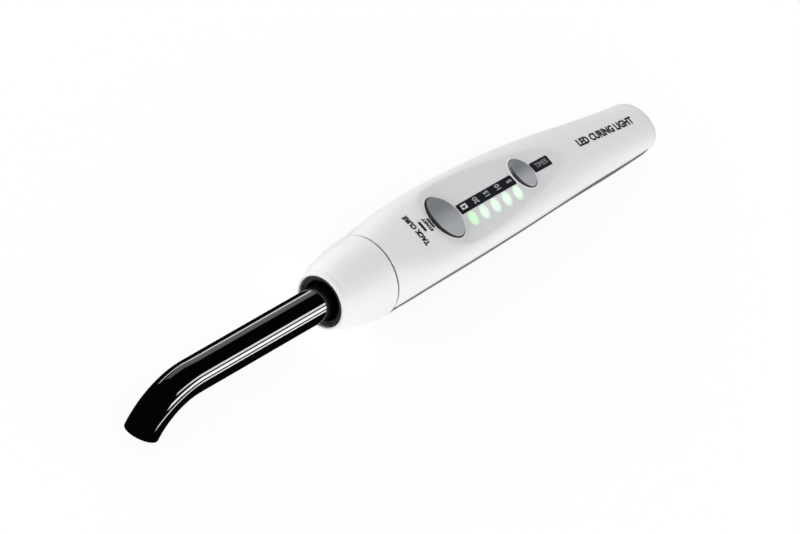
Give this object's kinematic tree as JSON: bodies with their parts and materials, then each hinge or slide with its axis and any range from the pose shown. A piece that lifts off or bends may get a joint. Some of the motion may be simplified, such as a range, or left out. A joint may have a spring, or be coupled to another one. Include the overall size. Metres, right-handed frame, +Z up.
{
  "type": "dental curing light",
  "caption": "Cordless pen-shaped curing light: a slim handpiece with two push buttons, a time display and a bent light guide that turns and pulls out.",
  "frame": {"origin": "middle of the footprint, at the height of the flat belly", "axes": "+X along the light guide's axis towards the handpiece's rounded rear end, +Z up through the buttons, +Y to the right when seen from above with the guide at the top"},
  "size_m": [0.2414, 0.0282, 0.028],
  "materials": {
    "casing_white": "satin moulded",
    "casing_grey": "satin moulded",
    "button_grey": "fine matt texture",
    "socket_black": "satin moulded",
    "guide_black": "high gloss jacket",
    "guide_glass": "polished ends",
    "rubber_dark": "matt",
    "steel": "turned",
    "aluminium": "machined",
    "gold_contact": "plated",
    "board_green": "solder mask",
    "strip_black": "printed film",
    "indicator_green": "diffused lens",
    "emitter_yellow": "phosphor and silicone dome",
    "cell_blue": "shrink sleeve on a metal can"
  },
  "bodies": {
    "handpiece": {"battery_cell": "cell_blue", "battery_contact": "steel", "battery_cradle": "socket_black", "battery_spring": "steel", "buzzer": "socket_black", "casing_screw_front": "steel", "casing_screw_rear": "steel", "charging_board": "board_green", "charging_contact_front": "gold_contact", "charging_contact_rear": "gold_contact", "collimator_lens": "guide_glass", "control_board": "board_green", "display_strip": "strip_black", "heat_sink": "aluminium", "indicator_led_1": "indicator_green", "indicator_led_2": "indicator_green", "indicator_led_3": "indicator_green", "indicator_led_4": "indicator_green", "indicator_led_5": "indicator_green", "indicator_screen": "casing_white", "led_board": "aluminium", "led_emitter": "emitter_yellow", "lens_holder": "socket_black", "lower_casing": "casing_grey", "magnet_ring": "steel", "nose_cone": "casing_white", "nose_gasket": "rubber_dark", "socket_insert": "socket_black", "start_seal": "rubber_dark", "start_switch": "socket_black", "timer_label": "strip_black", "timer_seal": "rubber_dark", "timer_switch": "socket_black", "upper_casing": "casing_white"},
    "seat": {"seat_ring": "socket_black"},
    "light_guide": {"guide_sheath": "guide_black", "guide_core": "guide_glass", "guide_ferrule": "steel", "guide_o_ring": "rubber_dark"},
    "start": {"start_button": "button_grey", "start_plunger": "casing_white"},
    "timer": {"timer_button": "button_grey", "timer_plunger": "casing_white"}
  },
  "joints": [
    {"name": "guide_turn", "type": "hinge", "parent": "handpiece", "child": "seat", "pos_m": [-0.0393, 0, 0.0146], "axis": [1, 0, 0], "continuous": true},
    {"name": "guide_pull", "type": "slide", "parent": "seat", "child": "light_guide", "axis": [-1, 0, 0], "range_m": [0, 0.018]},
    {"name": "start_press", "type": "slide", "parent": "handpiece", "child": "start", "axis": [0, 0, -1], "range_m": [0, 0.0007], "stiffness_N_per_m": 1500},
    {"name": "timer_press", "type": "slide", "parent": "handpiece", "child": "timer", "axis": [0, 0, -1], "range_m": [0, 0.0006], "stiffness_N_per_m": 1500}
  ]
}
